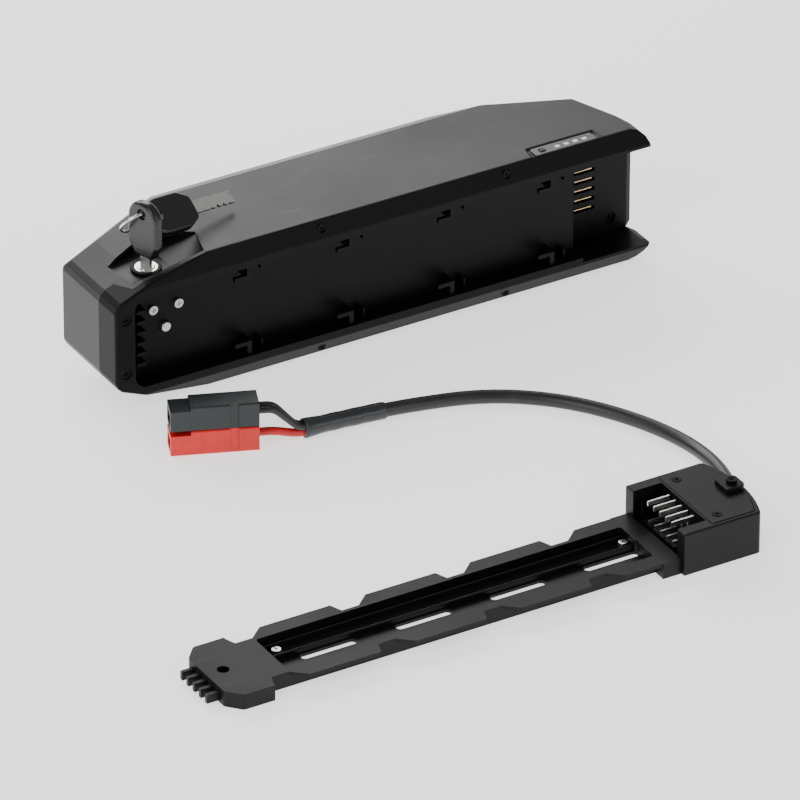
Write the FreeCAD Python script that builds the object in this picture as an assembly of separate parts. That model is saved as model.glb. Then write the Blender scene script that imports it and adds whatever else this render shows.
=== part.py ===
import FreeCAD, Part
import math
import os

from FreeCAD import Rotation, Vector

# Slide-on battery pack of an electric bicycle, laid beside its frame dock and the dock's lead.
# Units are mm. The origin is the middle of the dock's four slots on the dock's underside, which
# is also the surface that everything lies on. +X runs along the dock towards its contact box,
# +Y from the dock to the pack, +Z up.

# ---- pack case -------------------------------------------------------------------------------
PACK_ORIGIN = Vector(-71, 284, 0)
CASE_LENGTH = 365.0
CASE_DEPTH = 110.0
CASE_WIDTH = 90.0
CASE_WALL = 2.5
EDGE_RADIUS = 1.6
NOSE_RADIUS = 10.0
NOSE_FLATS = 2
RIM_RADIUS = 14.0
RIM_FLATS = 3
SEAM_DEPTH = 6.0
SEAM_GAP = 0.3
LOCK_END_WIDTH = 56.0
LOCK_END_RUN = 65.0
REAR_DROP = 20.0
FRONT_CHAMFER = 10.0
FRONT_CHAMFER_RUN = 6.0
MID = CASE_WIDTH / 2

# ---- channel that the dock slides into -------------------------------------------------------
CHANNEL_WIDTH = 60.0
CHANNEL_DEPTH = 12.0
CHANNEL_START = 13.0
FLOOR_THICK = 2.0
CAVITY_START = 318.0
CAVITY_STEP = 3.0
CAVITY_WIDTH = CHANNEL_WIDTH + 2 * CAVITY_STEP
CAVITY_DEPTH = 24.0
CUP_RADIUS = 3.8
CUP_DEPTH = 3.0
HEAD_RADIUS = 3.3
HOOK_PITCH = 69.0
HOOK_FIRST = 89.0
HOOK_COUNT = 4
HOOK_TOP = 2.0
HOOK_LENGTH = 16.0
HOOK_POST = 3.0
HOOK_REACH = 9.0
HOOK_LIP = 2.6

# ---- dock ------------------------------------------------------------------------------------
DOCK_LENGTH = 345.0
DOCK_GAP = 1.0
DOCK_WIDTH = CHANNEL_WIDTH - 2 * DOCK_GAP
DOCK_HEIGHT = 10.0
DOCK_FLOOR = 2.0
DOCK_LEFT = -172.0
SLOT_PITCH = 62.0
SLOT_COUNT = 4
SLOT_LENGTH = 36.0
SLOT_RADIUS = 2.8
HEAD_LENGTH = 28.0
RECESS_START = 42.0
FLANGE_GAP = 1.5
FLANGE_WIDTH = CHANNEL_WIDTH - 2 * FLANGE_GAP
FLANGE_THICK = 2.2
HOOK_GAP = 0.5
WALL_OUTER = CHANNEL_WIDTH - 2 * (HOOK_REACH + HOOK_GAP)
WALL_THICK = 2.4
NOTCH_LENGTH = 23.0
DOCKED_SHIFT = 28.0
BOX_START = CAVITY_START - DOCKED_SHIFT
BAY_LENGTH = 23.0
BAY_END = BOX_START + BAY_LENGTH
BOX_WIDTH = CAVITY_WIDTH - 2 * DOCK_GAP
BOX_HEIGHT = 27.0
BOX_BULGE = 7.0
BOX_WALL = 2.4
CONTACT_COUNT = 5
CONTACT_PITCH = 6.5
CONTACT_THICK = 0.9
BOLT_RADIUS = 3.2
BOLT_CLEARANCE = 0.4
BOLT_TIP = 9.0
SOCKET_DEPTH = 7.0
BOLT_X = 39.0
RIB_INSET = 4.5
RIB_LINES = (WALL_OUTER / 2 - RIB_INSET, 4.5)
SCREW_LINE = sum(RIB_LINES) / 2
DOCK_SCREWS = (51.0, 279.0)
COVER_THICK = 2.2
COVER_SCREWS = ((322.0, -22.0), (322.0, 22.0))
GLAND_RADIUS = 6.6
GLAND_LENGTH = 24.0
GLAND_TAPER = 8.0

# ---- lock and keys ---------------------------------------------------------------------------
LOCK_AT = Vector(34, 24, 0)
RECESS_FLOOR = 78.0
LOCK_RADIUS = 8.0
SCREW_TIP_GAP = 0.5
CORE_RADIUS = 5.2
CORE_CLEARANCE = 0.06
CORE_TOP = 80.6
CORE_BOTTOM = 52.0
CORE_TAIL = 0.4
CAM_THICK = 2.0
BEZEL_RIM = 1.3
BEZEL_RADIUS = LOCK_RADIUS + BEZEL_RIM
KEY_TURN = 15.0
KEY_THICK = 2.0
KEY_WIDTH = 8.0
BOW_WIDTH = 24.0
BOW_HEIGHT = 36.0
BOW_THICK = 6.5
BOW_BASE = 87.0
BOW_HOLE_RADIUS = 3.5
BOW_HOLE_DROP = 7.0
RING_RADIUS = 12.0
RING_WIRE = 0.9
RING_TILT = 52.1
SPARE_ALONG = 103.0
CAM_RADIUS = 8.0
CAM_PIN = 1.2

# ---- level gauge -----------------------------------------------------------------------------
GAUGE_START = 289.0
GAUGE_END = 331.0
GAUGE_FRONT = 7.5
GAUGE_REAR = 15.5
GAUGE_SINK = 1.4
BUTTON_X = 295.5
BUTTON_HALF = 1.85
LED_FIRST = 306.0
LED_PITCH = 6.2
LED_COUNT = 4

# ---- charge port -----------------------------------------------------------------------------
PORT_RADIUS = 6.8
PORT_FLANGE = 9.5
PORT_DEPTH = 16.0
JACK_RADIUS = 4.2
CAP_THICK = 2.0

# ---- cells -----------------------------------------------------------------------------------
CELL_RADIUS = 9.15
CELL_LENGTH = 65.0
CELL_PITCH = 19.0
CELL_ROWS = ((13, 190.0), (14, 190.0), (14, 190.0), (11, 178.0))
CELL_FIRST_ROW = 26.2
HOLDER_THICK = 7.0
STRIP_THICK = 0.3
BMS_X = 329.0

# ---- lead ------------------------------------------------------------------------------------
CABLE_RADIUS = 4.25
SLEEVE_RADIUS = 5.2
SLEEVE_LEAD = 20.0
SLEEVE_OVERRUN = 6.0
BEND_SHARE = 0.45
CABLE_ROUTE = (
    Vector(184, 16, 12),
    Vector(195, 40, 8),
    Vector(199, 82, 4.6),
    Vector(186, 123, 4.6),
    Vector(161, 162.5, 4.6),
    Vector(125, 191, 4.6),
    Vector(81, 203.5, 4.6),
    Vector(45.5, 207.4, 5.6),
    Vector(17.5, 208.6, 6.6),
)
RED_RADIUS = 2.5
BLACK_RADIUS = 2.0
PLUG_LENGTH = 52.0
PLUG_SIDE = 16.0
PLUG_GAP = 0.2
PLUG_ANGLE = 158.0
PLUG_REAR = Vector(-14.5, 217.1, 0)

X_AXIS = Vector(1, 0, 0)
Y_AXIS = Vector(0, 1, 0)
Z_AXIS = Vector(0, 0, 1)


# ---- helpers ---------------------------------------------------------------------------------
def block(x0, x1, y0, y1, z0, z1):
    """Box between two corners."""
    return Part.makeBox(x1 - x0, y1 - y0, z1 - z0, Vector(x0, y0, z0))


def rod(base, radius, height, axis=Z_AXIS):
    """Cylinder from its base point along an axis."""
    return Part.makeCylinder(radius, height, base, axis)


def plan(points, z0, z1):
    """Prism over a closed outline in X and Y."""
    corners = [Vector(x, y, z0) for x, y in points]
    return Part.Face(Part.makePolygon(corners + corners[:1])).extrude(Vector(0, 0, z1 - z0))


def side(points, y0, y1):
    """Prism over a closed outline in X and Z."""
    corners = [Vector(x, y0, z) for x, z in points]
    return Part.Face(Part.makePolygon(corners + corners[:1])).extrude(Vector(0, y1 - y0, 0))


def section(points, x0, x1):
    """Prism over a closed outline in Y and Z."""
    corners = [Vector(x0, y, z) for y, z in points]
    return Part.Face(Part.makePolygon(corners + corners[:1])).extrude(Vector(x1 - x0, 0, 0))


def fuse(pieces):
    """One solid from pieces that touch."""
    return pieces[0].multiFuse(pieces[1:]).removeSplitter()


def rounded(shape, radius, chosen):
    """Fillet the edges that a test on the edge picks."""
    return shape.makeFillet(radius, [edge for edge in shape.Edges if chosen(edge)])


def runs_along(axis):
    """Test for straight edges that are parallel to an axis."""
    def test(edge):
        first, last = edge.Vertexes[0].Point, edge.Vertexes[-1].Point
        span = last - first
        return span.Length > 0 and abs(span.dot(axis)) > 0.999 * span.Length
    return test


def placed(shape):
    """Pack coordinates to the shared frame."""
    moved = shape.copy()
    moved.translate(PACK_ORIGIN)
    return moved


def dock_x(distance):
    """X of a distance from the dock's left end."""
    return DOCK_LEFT + distance


def export(name, shapes):
    """Write one sub-part, one or more separate solids."""
    whole = Part.makeCompound(shapes) if len(shapes) > 1 else shapes[0]
    whole.exportStep("parts/%s.step" % name)
    count = sum(len(shape.Solids) for shape in shapes)
    print("%-24s %3d solid(s) %10.0f mm3 valid=%s" % (name, count, whole.Volume, whole.isValid()))


# ---- case ------------------------------------------------------------------------------------
def trimmed(shape, point, outward):
    """Cut off what lies beyond a plane."""
    reach = 2 * CASE_LENGTH
    beyond = Part.makeBox(2 * reach, 2 * reach, reach, Vector(-reach, -reach, 0))
    beyond.Placement = FreeCAD.Placement(point, Rotation(Z_AXIS, outward))
    return shape.cut(beyond)


def outline():
    """Plan outline of the case at mid height, from the front left corner, clockwise."""
    long, deep = CASE_LENGTH, CASE_DEPTH
    return [(0, 0), (0, deep - 46), (85, deep), (long - 90, deep), (long - 19, deep - 29),
            (long, deep - 79), (long, 0)]


def eased(corner, first, second, radius, count):
    """Flats that touch a circle laid in the corner between two flats."""
    centre = corner - (first + second) * (radius / (1 + first.dot(second)))
    hinge = first.cross(second).normalize()
    flats = []
    for step in range(1, count + 1):
        turn = math.degrees(first.getAngle(second)) * step / (count + 1)
        outward = Rotation(hinge, turn).multVec(first)
        flats.append((centre + outward * radius, outward))
    return flats


def case_planes():
    """Every flat of the case as a point and an outward normal."""
    points = outline()
    planes = []
    rear_insets = {1: 20.0, 2: 34.0, 3: 25.0, 4: 12.0}
    for index in range(len(points)):
        x0, y0 = points[index]
        x1, y1 = points[(index + 1) % len(points)]
        outward = Vector(-(y1 - y0), x1 - x0, 0).normalize()
        planes.append((Vector(x0, y0, MID), outward))
        if index in rear_insets:
            for sign in (1, -1):
                slope = outward * REAR_DROP + Vector(0, 0, sign * rear_insets[index])
                edge = Vector(x0, y0, MID + sign * (MID - REAR_DROP))
                planes.append((edge, slope.normalize()))
    for sign in (1, -1):
        top = MID + sign * MID
        front = Vector(0, -FRONT_CHAMFER, sign * FRONT_CHAMFER_RUN).normalize()
        planes.append((Vector(0, 0, MID + sign * (MID - FRONT_CHAMFER)), front))
        planes.append((Vector(0, 0, top), Vector(0, 0, sign)))
        near, far = LOCK_END_RUN / 3, LOCK_END_RUN
        edge_z = MID + sign * LOCK_END_WIDTH / 2
        knee_z = MID + sign * (MID - 8)
        first = Vector(-(abs(knee_z - edge_z)), 0, sign * near).normalize()
        second = Vector(-8, 0, sign * (far - near)).normalize()
        planes.append((Vector(near, 0, knee_z), first))
        planes.append((Vector(near, 0, knee_z), second))
        planes += eased(Vector(0, 0, edge_z), X_AXIS * -1, first, NOSE_RADIUS, NOSE_FLATS)
        planes += eased(Vector(CASE_LENGTH, 0, top), X_AXIS, Z_AXIS * sign, RIM_RADIUS, RIM_FLATS)
    return planes


def case_body(inset):
    """The case as one closed block, each flat moved inwards."""
    shape = block(-10, CASE_LENGTH + 10, -10, CASE_DEPTH + 10, -10, CASE_WIDTH + 10)
    for point, outward in case_planes():
        shape = trimmed(shape, point - outward * inset, outward)
    return shape


def outer_body():
    """The case's outer form with its edges rounded."""
    body = case_body(0)
    return body.makeFillet(EDGE_RADIUS, body.Edges)


def seam_region(gap):
    """Everything in front of the seam, which steps back round the lock end."""
    depth = SEAM_DEPTH - gap
    step = 20.0 - gap
    return plan([(-5, -5), (-5, step), (10, step), (15, depth), (CASE_LENGTH + 5, depth),
                 (CASE_LENGTH + 5, -5)], -5, CASE_WIDTH + 5)


def channel_space():
    """The room that the dock fills."""
    half, cavity = CHANNEL_WIDTH / 2, CAVITY_WIDTH / 2
    slot = block(CHANNEL_START, CASE_LENGTH + 5, -5, CHANNEL_DEPTH, MID - half, MID + half)
    slot = rounded(slot, 8.0, lambda e: runs_along(Y_AXIS)(e) and e.BoundBox.XMin < CHANNEL_START + 1)
    room = block(CAVITY_START, CASE_LENGTH + 5, -5, CAVITY_DEPTH, MID - cavity, MID + cavity)
    return slot.fuse(room)


def tray_body():
    """The channel's walls and floor, before the room is cut out."""
    half, cavity = CHANNEL_WIDTH / 2 + FLOOR_THICK, CAVITY_WIDTH / 2 + FLOOR_THICK
    long = block(CHANNEL_START - FLOOR_THICK, CASE_LENGTH - CASE_WALL, 1, CHANNEL_DEPTH + FLOOR_THICK,
                 MID - half, MID + half)
    end = block(CAVITY_START - FLOOR_THICK, CASE_LENGTH - CASE_WALL, 1, CAVITY_DEPTH + FLOOR_THICK,
                MID - cavity, MID + cavity)
    return long.fuse(end)


def hook_positions():
    """X of each hook's left end."""
    return [HOOK_FIRST - HOOK_LENGTH / 2 + HOOK_PITCH * step for step in range(HOOK_COUNT)]


def hook(x, sign):
    """A post on the channel wall with a lip that grips the dock's flange, and a fin beside it."""
    wall = MID + sign * CHANNEL_WIDTH / 2
    long = sorted((wall + sign, wall - sign * HOOK_REACH))
    tip = sorted((wall - sign * (HOOK_REACH - HOOK_LIP), wall - sign * HOOK_REACH))
    short = sorted((wall + sign, wall - sign * (HOOK_REACH - HOOK_LIP)))
    near, far = HOOK_TOP, CHANNEL_DEPTH + 1
    post = block(x + HOOK_LENGTH / 2, x + HOOK_LENGTH / 2 + HOOK_POST, near, far, *long)
    lip = block(x, x + HOOK_LENGTH / 2 + 1, near, near + HOOK_LIP, *tip)
    fin = block(x + HOOK_LENGTH + 3, x + HOOK_LENGTH + 4.2, near + 3, far, *short)
    return [post, lip, fin]


def comb(x, count, pitch):
    """Short ribs that stand up from the channel floor."""
    first = MID - pitch * (count - 1) / 2
    return [block(x - 3, x + 3, CHANNEL_DEPTH - 7, CHANNEL_DEPTH + 1, first + pitch * step - 1,
                  first + pitch * step + 1) for step in range(count)]


def contact_slots(y0, y1, clearance):
    """Slots that the dock's blades slide into."""
    first = MID - CONTACT_PITCH * (CONTACT_COUNT - 1) / 2
    wide = CONTACT_THICK / 2 + clearance
    return [block(324, 340, y0, y1, first + CONTACT_PITCH * step - wide,
                  first + CONTACT_PITCH * step + wide) for step in range(CONTACT_COUNT)]


def lock_recess():
    """Flat-floored pocket round the lock, with a sloping facet on its inner side."""
    run = side([(14, RECESS_FLOOR), (48, RECESS_FLOOR), (74, CASE_WIDTH + 1), (14, CASE_WIDTH + 1)],
               -1, 60)
    area = plan([(17, 8.5), (15, 36), (44, 47), (70, 30), (64, 8.5)], 60, 100)
    return run.common(area)


def gauge_facet():
    """Shallow sloped pocket round the level gauge."""
    floor, top = CASE_WIDTH - GAUGE_SINK, CASE_WIDTH + 5
    near, far = GAUGE_FRONT - 0.6, GAUGE_REAR + 0.6
    start, end = GAUGE_START - 1.5, GAUGE_END + 1.5
    pocket = block(start, end, near, far, floor, top)
    slope = Part.makeLoft([
        Part.makePolygon([Vector(start, near, floor), Vector(end, near, floor), Vector(end, far, floor),
                          Vector(start, far, floor), Vector(start, near, floor)]),
        Part.makePolygon([Vector(start - 12, near, top), Vector(end + 12, near, top),
                          Vector(end + 4, far + 5, top), Vector(start - 4, far + 5, top),
                          Vector(start - 12, near, top)])], True, True)
    return pocket.fuse(slope)


def corner_holes():
    """Axis points of the screws that close the case at the lock end."""
    return [(7.0, MID - 18), (7.0, MID + 18)]


def cavity_holes():
    """Axis points of the screws that are sunk in the end cavity's floor."""
    return [(CASE_LENGTH - 14, MID - 24), (CASE_LENGTH - 14, MID + 24)]


def chamfer_holes():
    """Screw holes that are sunk in the front chamfers."""
    return [(x, z) for x in (140.0, 266.0) for z in (4.6, CASE_WIDTH - 4.6)]


def case_shell():
    """Rear tub of the case, open towards the channel."""
    shell = outer_body().cut(case_body(CASE_WALL))
    shell = shell.cut(seam_region(0)).cut(lock_recess()).cut(gauge_facet())
    pad = block(12, 50, 6, 50, RECESS_FLOOR - 2.5, RECESS_FLOOR).common(case_body(0.5))
    ramp = side([(47, RECESS_FLOOR - 2.5), (78, CASE_WIDTH - 1), (66, CASE_WIDTH - 1),
                 (47, RECESS_FLOOR)], 7, 48).common(case_body(0.5))
    boss = rod(Vector(LOCK_AT.x, LOCK_AT.y, RECESS_FLOOR - 6), LOCK_RADIUS + 3, 5)
    shell = fuse([shell, pad.cut(seam_region(0)), ramp.cut(seam_region(0)), boss])
    shell = shell.cut(lock_recess())
    for tool in shell_openings():
        shell = shell.cut(tool)
    return shell


def shell_openings():
    """Holes through the tub for the lock, the gauge and the charge port."""
    floor = CASE_WIDTH - GAUGE_SINK
    point, outward = charge_axis()
    return [
        rod(Vector(LOCK_AT.x, LOCK_AT.y, 60), LOCK_RADIUS + 0.15, 30),
        block(GAUGE_START + 3, GAUGE_END - 3, GAUGE_FRONT + 2, GAUGE_REAR - 2, floor - 5, floor + 1),
        rod(point - outward * 6, PORT_RADIUS + 0.15, 12, outward),
        tray_body(),
        channel_space(),
    ]


def channel_cover():
    """Front cover with the channel, its hooks and the contact window."""
    front = outer_body().common(seam_region(SEAM_GAP))
    front = front.cut(case_body(CASE_WALL)).cut(lock_recess()).cut(gauge_facet())
    pieces = [front, tray_body().common(case_body(0.2))]
    cover = fuse(pieces).cut(channel_space())
    extras = []
    for x in hook_positions():
        for sign in (1, -1):
            extras += hook(x, sign)
    extras += comb(20.0, 6, 7.0)
    extras += [rod(Vector(x, CAVITY_DEPTH + 0.5, z), CUP_RADIUS + 2, CUP_DEPTH + 3, Y_AXIS)
               for x, z in cavity_holes()]
    cover = fuse([cover] + extras)
    for tool in contact_slots(CAVITY_DEPTH - 1, CAVITY_DEPTH + FLOOR_THICK + 1, 0.8):
        cover = cover.cut(tool)
    cover = cover.cut(rod(Vector(BOLT_X, 0, MID), BOLT_RADIUS + BOLT_CLEARANCE, 30, Y_AXIS))
    for x, z in cavity_holes():
        cover = cover.cut(rod(Vector(x, CAVITY_DEPTH - 1, z), CUP_RADIUS, CUP_DEPTH + 1, Y_AXIS))
        cover = cover.cut(rod(Vector(x, CAVITY_DEPTH, z), 1.6, 20, Y_AXIS))
    for x, z in corner_holes():
        cover = cover.cut(rod(Vector(x, -1, z), HEAD_RADIUS + 0.3, 3.2, Y_AXIS))
        cover = cover.cut(rod(Vector(x, -1, z), 1.6, 40, Y_AXIS))
    for x, z in chamfer_holes():
        cover = cover.cut(rod(Vector(x, -1, z), 2.6, 5.6, Y_AXIS))
        cover = cover.cut(rod(Vector(x, -1, z), 1.3, 8, Y_AXIS))
    for x, z in channel_screw_points():
        cover = cover.cut(rod(Vector(x, CHANNEL_DEPTH - 5, z), 1.55, 12, Y_AXIS))
    return cover


def channel_screw_points():
    """Screws that hold the lock's carrier to the channel floor."""
    return [(31.0, MID + 13), (48.0, MID + 13)]


def charge_axis():
    """Middle of the sloping end flat and its outward direction."""
    (x0, y0), (x1, y1) = outline()[1:3]
    outward = Vector(-(y1 - y0), x1 - x0, 0).normalize()
    return Vector((x0 + x1) / 2, (y0 + y1) / 2, MID), outward


# ---- case fittings ---------------------------------------------------------------------------
def case_gasket():
    """Soft cord pressed between the cover and the tub, inside the seam."""
    outer = case_body(CASE_WALL + 0.1)
    band = outer.cut(case_body(CASE_WALL + 1.6))
    slab = block(16, CASE_LENGTH - CASE_WALL - 8, SEAM_DEPTH - 1.2, SEAM_DEPTH + 1.0, 0, CASE_WIDTH)
    return band.common(slab).cut(tray_body()).cut(lock_recess()).cut(block(0, 80, 0, 20, 60, 90))


def screw(head, axis, head_radius, head_height, shank_radius, shank_length):
    """Cross-head screw; the head's underside is at the given point, facing along the axis."""
    body = rod(head, head_radius, head_height, axis).fuse(
        rod(head - axis * shank_length, shank_radius, shank_length, axis))
    body = body.removeSplitter()
    across = axis.cross(Z_AXIS if abs(axis.z) < 0.9 else X_AXIS).normalize()
    along = axis.cross(across)
    arm = head_radius * 0.6
    for first, second in ((across, along), (along, across)):
        corners = [first * (arm * a) + second * (head_radius * 0.13 * b)
                   for a, b in ((-1, -1), (1, -1), (1, 1), (-1, 1))]
        base = head + axis * (head_height * 0.45)
        loop = [base + corner for corner in corners]
        body = body.cut(Part.Face(Part.makePolygon(loop + loop[:1])).extrude(axis * head_height))
    return body


def case_screws():
    """Screws sunk in the cover's lock end, cavity floor and chamfers."""
    out = Y_AXIS * -1
    corners = [screw(Vector(x, 2.2, z), out, HEAD_RADIUS, 1.6, 1.5, 3.0) for x, z in corner_holes()]
    corners += [screw(Vector(x, CAVITY_DEPTH + CUP_DEPTH, z), out, HEAD_RADIUS, 1.6, 1.5, 2.5)
                for x, z in cavity_holes()]
    chamfers = [screw(Vector(x, 4.6, z), out, 2.3, 1.6, 1.2, 0.9) for x, z in chamfer_holes()]
    return corners + chamfers


def channel_screws():
    """Two bright screws in the channel floor, which stop short of the lock's barrel."""
    shank = LOCK_AT.y - LOCK_RADIUS - CHANNEL_DEPTH - SCREW_TIP_GAP
    return [screw(Vector(x, CHANNEL_DEPTH, z), Y_AXIS * -1, 2.9, 1.9, 1.5, shank)
            for x, z in channel_screw_points()]


# ---- lock ------------------------------------------------------------------------------------
def lock_bezel():
    """Raised ring round the lock's face."""
    base = Vector(LOCK_AT.x, LOCK_AT.y, RECESS_FLOOR)
    ring = rod(base, BEZEL_RADIUS, 1.9)
    ring = rounded(ring, 0.8, lambda e: e.BoundBox.ZMin > RECESS_FLOOR + 1)
    return ring.cut(rod(base, 7.0, 3))


def lock_body():
    """Lock barrel with the bore that the core turns in."""
    base = Vector(LOCK_AT.x, LOCK_AT.y, CORE_BOTTOM)
    barrel = rod(base, LOCK_RADIUS, RECESS_FLOOR - CORE_BOTTOM)
    barrel = barrel.fuse(rod(base, 6.9, CORE_TOP - 0.6 - CORE_BOTTOM)).removeSplitter()
    return barrel.cut(rod(base, CORE_RADIUS + CORE_CLEARANCE, 40))


def turned(shape, angle=KEY_TURN):
    """Turn about the lock's axis."""
    moved = shape.copy()
    moved.rotate(LOCK_AT, Z_AXIS, angle)
    return moved


def blade_space(clearance):
    """Room for the key's blade in the core."""
    half, thick = KEY_WIDTH / 2 + clearance, KEY_THICK / 2 + clearance
    return turned(block(LOCK_AT.x - thick, LOCK_AT.x + thick, LOCK_AT.y - half, LOCK_AT.y + half,
                        CORE_BOTTOM + 4, BOW_BASE + 2))


def lock_core():
    """Core that the key turns."""
    base = Vector(LOCK_AT.x, LOCK_AT.y, CORE_BOTTOM - CORE_TAIL)
    core = rod(base, CORE_RADIUS, CORE_TOP - CORE_BOTTOM + CORE_TAIL)
    core = rounded(core, 0.5, lambda e: e.BoundBox.ZMin > CORE_TOP - 1)
    return core.cut(blade_space(0.05))


def lock_cam():
    """Disc under the core with the pin that draws the bolt."""
    base = Vector(LOCK_AT.x, LOCK_AT.y, CORE_BOTTOM - CORE_TAIL - CAM_THICK)
    disc = rod(base, CAM_RADIUS + CAM_PIN + 0.8, CAM_THICK)
    pin = rod(base + Vector(CAM_RADIUS, 0, -8), CAM_PIN, 8.5)
    return fuse([disc, pin])


def lock_bolt():
    """Bolt that locks the pack to the dock, with the slotted plate that the cam pin moves."""
    shaft = rod(Vector(BOLT_X, BOLT_TIP, MID), BOLT_RADIUS, 14, Y_AXIS)
    shaft = rounded(shaft, 1.0, lambda e: e.BoundBox.YMax < BOLT_TIP + 1)
    plate = block(29, 49, 17, 31, MID - 4, MID)
    y = LOCK_AT.y
    slot = block(31.5, 45.5, y - 3.4, y + 3.4, MID - 5, MID + 1)
    return fuse([shaft.cut(block(20, 60, 20.4, 60, 0, 90)), plate]).cut(slot)


# ---- keys ------------------------------------------------------------------------------------
def key_pieces():
    """Blade and bow of a key that stands in the lock, before it is turned."""
    x, y = LOCK_AT.x, LOCK_AT.y
    half, thick = KEY_WIDTH / 2, KEY_THICK / 2
    blade = block(x - thick, x + thick, y - half, y + half, CORE_BOTTOM + 5, BOW_BASE)
    for step in range(4):
        z = CORE_BOTTOM + 9 + 4.6 * step
        depth = 0.9 + 0.5 * (step % 3)
        notch = section([(y + half + 1, z - 2), (y + half - depth, z), (y + half + 1, z + 2)],
                        x - 5, x + 5)
        blade = blade.cut(notch)
    wide, thick = BOW_WIDTH / 2, BOW_THICK / 2
    bow = section([(y - 7, BOW_BASE), (y + 7, BOW_BASE), (y + wide, BOW_BASE + 9),
                   (y + wide, BOW_BASE + BOW_HEIGHT), (y - wide, BOW_BASE + BOW_HEIGHT),
                   (y - wide, BOW_BASE + 9)], x - thick, x + thick)
    bow = rounded(bow, 11.0, lambda e: runs_along(X_AXIS)(e) and e.BoundBox.ZMin > BOW_BASE + 20)
    bow = rounded(bow, 4.0, lambda e: runs_along(X_AXIS)(e) and e.BoundBox.ZMax < BOW_BASE + 20)
    bow = rounded(bow, 2.2, lambda e: e.BoundBox.XLength < 0.1)
    hole = Vector(x - 10, y, BOW_BASE + BOW_HEIGHT - BOW_HOLE_DROP)
    return blade, bow.cut(rod(hole, BOW_HOLE_RADIUS, 20, X_AXIS))


def bow_hole():
    """Centre of the bow's hole."""
    return Vector(LOCK_AT.x, LOCK_AT.y, BOW_BASE + BOW_HEIGHT - BOW_HOLE_DROP)


def ring_frame():
    """Key ring's centre and its two in-plane directions, across and up to the first hole."""
    tilt = math.radians(RING_TILT)
    up = Vector(0, -math.cos(tilt), math.sin(tilt))
    return bow_hole() - up * RING_RADIUS, X_AXIS, up


def spare_hole():
    """Centre of the spare key's hole and the ring's direction there."""
    centre, across, up = ring_frame()
    angle = math.radians(SPARE_ALONG)
    place = centre + (across * math.sin(angle) + up * math.cos(angle)) * RING_RADIUS
    return place, (across * math.cos(angle) - up * math.sin(angle)).normalize()


def key_ring():
    """Wire ring through both bows."""
    centre, across, up = ring_frame()
    return Part.makeTorus(RING_RADIUS, RING_WIRE, centre, across.cross(up))


def spare_key():
    """The second key, hung on the ring and resting towards the case."""
    place, hinge = spare_hole()
    down = Vector(0.97, 0.2, -0.13)
    down = (down - hinge * down.dot(hinge)).normalize()
    frame = FreeCAD.Matrix()
    wide = (down * -1).cross(hinge)
    for column, axis in enumerate((hinge, wide, down * -1)):
        for row, value in enumerate(axis):
            setattr(frame, "A%d%d" % (row + 1, column + 1), value)
    moved = []
    for piece in key_pieces():
        copy = piece.copy()
        copy.translate(bow_hole() * -1)
        copy.Placement = FreeCAD.Placement(frame).multiply(copy.Placement)
        copy.translate(place)
        moved.append(copy)
    return moved


# ---- level gauge -----------------------------------------------------------------------------
def gauge_z():
    """Height of the gauge pocket's floor."""
    return CASE_WIDTH - GAUGE_SINK


def led_positions():
    """X of each charge lamp."""
    return [LED_FIRST + LED_PITCH * step for step in range(LED_COUNT)]


def gauge_y():
    """Middle line of the gauge."""
    return (GAUGE_FRONT + GAUGE_REAR) / 2


def level_window():
    """Glossy strip over the lamps, with a hole for the button."""
    z = gauge_z()
    strip = block(GAUGE_START, GAUGE_END, GAUGE_FRONT, GAUGE_REAR, z, z + 0.9)
    strip = rounded(strip, 1.5, runs_along(Z_AXIS))
    reach = BUTTON_HALF + 0.25
    strip = strip.cut(block(BUTTON_X - reach, BUTTON_X + reach, gauge_y() - reach, gauge_y() + reach,
                            z - 1, z + 2))
    for x in led_positions():
        strip = strip.cut(block(x - 1.8, x + 1.8, gauge_y() - 1.5, gauge_y() + 1.5, z - 1, z + 2))
    return strip


def level_leds():
    """Four charge lamps."""
    z = gauge_z()
    return [block(x - 1.6, x + 1.6, gauge_y() - 1.3, gauge_y() + 1.3, z - 4.3, z + 0.8)
            for x in led_positions()]


def level_board():
    """Circuit board under the gauge."""
    z = gauge_z()
    return block(GAUGE_START + 3.5, GAUGE_END - 3.5, gauge_y() - 1.8, gauge_y() + 1.8, z - 5.5, z - 4.3)


def level_button():
    """Button that lights the lamps."""
    z = gauge_z()
    cap = block(BUTTON_X - BUTTON_HALF, BUTTON_X + BUTTON_HALF, gauge_y() - BUTTON_HALF,
                gauge_y() + BUTTON_HALF, z - 1.4, z + 1.5)
    cap = rounded(cap, 0.7, runs_along(Z_AXIS))
    cap = rounded(cap, 0.3, lambda e: e.BoundBox.ZMin > z + 1)
    return fuse([cap, rod(Vector(BUTTON_X, gauge_y(), z - 3.3), 1.2, 2.0)])


# ---- charge port -----------------------------------------------------------------------------
def charge_port():
    """Round socket in the sloping end flat."""
    point, outward = charge_axis()
    body = rod(point - outward * PORT_DEPTH, PORT_RADIUS, PORT_DEPTH + 1, outward)
    flange = rod(point + outward * 0.02, PORT_FLANGE, 1.4, outward)
    whole = fuse([body, flange])
    whole = whole.cut(rod(point - outward * (PORT_DEPTH - 3), JACK_RADIUS, 30, outward))
    pin = rod(point - outward * (PORT_DEPTH - 2), 1.0, 9, outward)
    return fuse([whole, pin])


def charge_cap():
    """Rubber cap over the charge port, on a hinge at its lower side."""
    point, outward = charge_axis()
    base = point + outward * 1.5
    disc = rod(base, PORT_FLANGE, CAP_THICK, outward)
    plug = rod(base - outward * 3.5, JACK_RADIUS - 0.4, 3.6, outward)
    plug = plug.cut(rod(base - outward * 9, 1.6, 9, outward))
    return fuse([disc, plug])


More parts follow.
